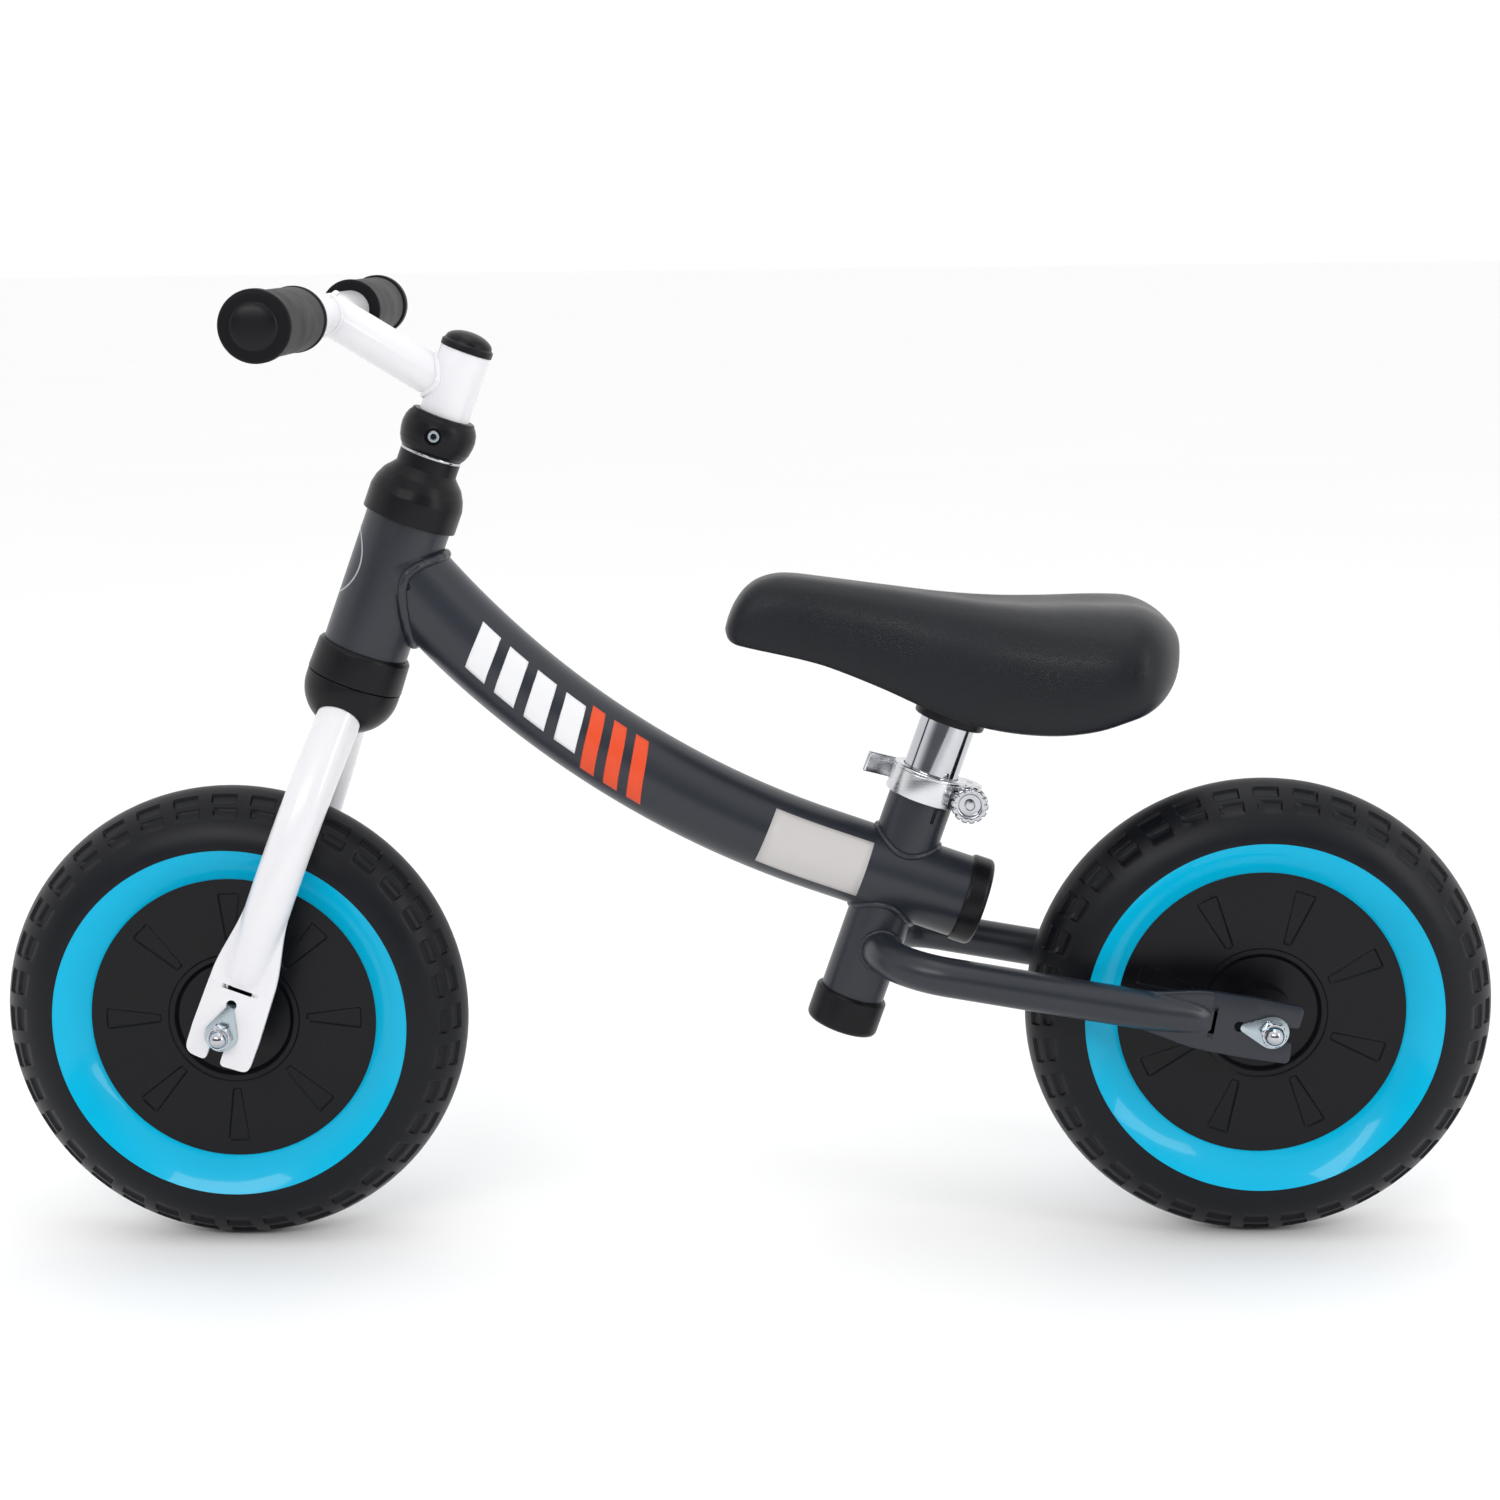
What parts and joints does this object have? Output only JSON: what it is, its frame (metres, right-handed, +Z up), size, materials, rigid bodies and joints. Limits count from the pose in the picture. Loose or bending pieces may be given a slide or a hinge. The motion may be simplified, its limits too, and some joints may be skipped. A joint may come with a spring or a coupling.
{
  "type": "balance bike",
  "caption": "Child's balance bike with curved single-tube frame, white fork and handlebar, solid disc wheels, and a height-adjustable saddle with quick release.",
  "frame": {"origin": "on the ground midway between the two axles, in the middle plane", "axes": "+X the riding direction, +Y the rider's left, +Z up"},
  "size_m": [0.859, 0.4052, 0.5536],
  "materials": {
    "frame_paint": "satin anthracite powder coat",
    "fork_paint": "glossy white paint",
    "black_plastic": "fine-textured black plastic",
    "grip_rubber": "soft matt rubber, dark grey",
    "tyre_foam": "closed-cell foam, matt anthracite",
    "trim_gloss": "high-gloss cyan lacquered plastic",
    "bearing_steel": "bright steel",
    "chrome_fittings": "bright chrome plate",
    "chrome_post": "polished chrome plate",
    "clamp_alloy": "polished aluminium",
    "saddle_skin": "dark slate grained soft covering"
  },
  "bodies": {
    "frame": {"head_tube": "frame_paint", "main_tube": "frame_paint", "seat_tube": "frame_paint", "left_stay": "frame_paint", "right_stay": "frame_paint", "main_tube_cap": "black_plastic", "seat_tube_foot": "black_plastic", "lower_bearing_cup": "bearing_steel", "upper_bearing_cup": "bearing_steel", "lower_bearing_balls": "bearing_steel", "upper_bearing_balls": "bearing_steel", "lower_cup_cover": "black_plastic", "seat_clamp_ring": "clamp_alloy", "seat_clamp_bolt": "chrome_fittings", "seat_clamp_nut": "chrome_fittings", "rear_axle": "bearing_steel", "rear_axle_nuts": "chrome_fittings", "rear_tab_washers": "chrome_fittings", "rear_axle_spacers": "bearing_steel"},
    "fork": {"steerer_tube": "fork_paint", "fork_crown": "fork_paint", "crown_race": "bearing_steel", "left_fork_leg": "fork_paint", "right_fork_leg": "fork_paint", "crown_cover": "black_plastic", "upper_race": "bearing_steel", "upper_cover": "black_plastic", "clamp_washer": "chrome_fittings", "stem_clamp": "black_plastic", "stem_clamp_screw": "chrome_fittings", "front_axle": "bearing_steel", "front_axle_nuts": "chrome_fittings", "front_tab_washers": "chrome_fittings", "front_axle_spacers": "bearing_steel"},
    "bar_set": {"stem_post": "fork_paint", "stem_arm": "fork_paint", "handlebar": "fork_paint", "stem_plug": "black_plastic", "left_grip": "grip_rubber", "right_grip": "grip_rubber", "bar_end_plugs": "black_plastic"},
    "front_wheel": {"front_tyre": "tyre_foam", "front_wheel_core": "black_plastic", "front_wheel_discs": "black_plastic", "front_trim_rings": "trim_gloss", "front_bearings": "bearing_steel", "front_hub_sleeve": "bearing_steel"},
    "rear_wheel": {"rear_tyre": "tyre_foam", "rear_wheel_core": "black_plastic", "rear_wheel_discs": "black_plastic", "rear_trim_rings": "trim_gloss", "rear_bearings": "bearing_steel", "rear_hub_sleeve": "bearing_steel"},
    "saddle": {"seat_post": "chrome_post", "saddle_base": "black_plastic", "saddle_pad": "saddle_skin"},
    "lever": {"quick_release_lever": "clamp_alloy", "quick_release_pin": "chrome_fittings"}
  },
  "joints": [
    {"name": "steering", "type": "hinge", "parent": "frame", "child": "fork", "pos_m": [0.29363, 0, 0.1333], "axis": [-0.3502, 0, 0.9367], "continuous": true},
    {"name": "handlebar_height", "type": "slide", "parent": "fork", "child": "bar_set", "axis": [-0.3502, 0, 0.9367], "range_m": [0, 0.06]},
    {"name": "front_wheel_spin", "type": "hinge", "parent": "fork", "child": "front_wheel", "pos_m": [0.2955, 0, 0.134], "axis": [0, 1, 0], "continuous": true},
    {"name": "rear_wheel_spin", "type": "hinge", "parent": "frame", "child": "rear_wheel", "pos_m": [-0.2955, 0, 0.134], "axis": [0, 1, 0], "continuous": true},
    {"name": "saddle_height", "type": "slide", "parent": "frame", "child": "saddle", "axis": [-0.3305, 0, 0.9438], "range_m": [-0.026, 0.07]},
    {"name": "quick_release", "type": "hinge", "parent": "frame", "child": "lever", "pos_m": [-0.12832, -0.017, 0.25782], "axis": [0.3305, 0, -0.9438], "range_deg": [0, 150]}
  ]
}
